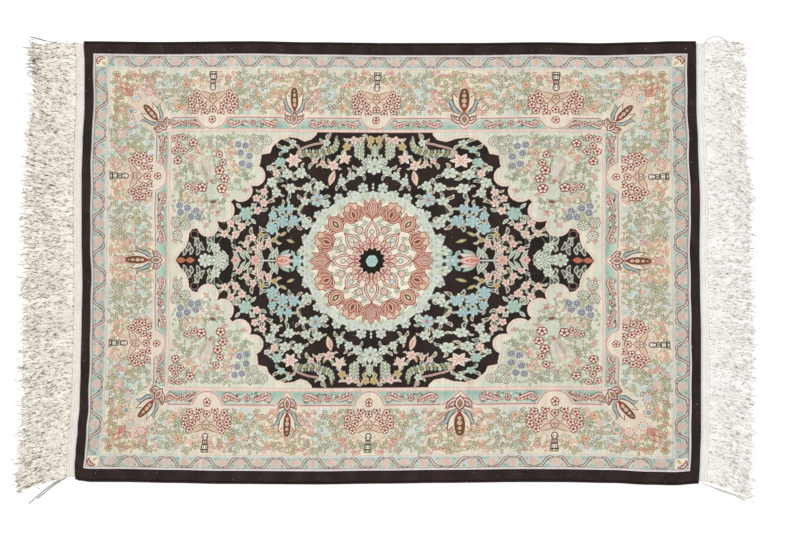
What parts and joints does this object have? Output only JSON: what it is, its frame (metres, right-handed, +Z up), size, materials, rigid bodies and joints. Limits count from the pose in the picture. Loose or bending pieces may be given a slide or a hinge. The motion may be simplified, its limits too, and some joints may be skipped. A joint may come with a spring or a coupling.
{
  "type": "hand-knotted floral medallion rug with fringed ends",
  "caption": "Flat rectangular pile rug with a dark medallion, flowered borders, narrow flat-woven ends and a long loose fringe at each end, lying on the floor.",
  "frame": {"origin": "centre of the whole rug's footprint, fringes included, at the underside", "axes": "+X along the rug's length and its warp, +Y across its width, +Z up out of the pile"},
  "size_m": [1.1836, 0.7272, 0.0055],
  "materials": {
    "pile_wool": "short dense cut pile with a soft sheen, floral design in ivory, pale green, light blue, rose and near-black, plain dark brown edge band",
    "kilim_cotton": "undyed flat weave, matt",
    "fringe_cotton": "undyed twisted yarns, matt"
  },
  "bodies": {
    "root": {"rug_pile": "pile_wool", "kilim_left": "kilim_cotton", "kilim_right": "kilim_cotton", "fringe_left": "fringe_cotton", "fringe_right": "fringe_cotton"}
  },
  "joints": []
}
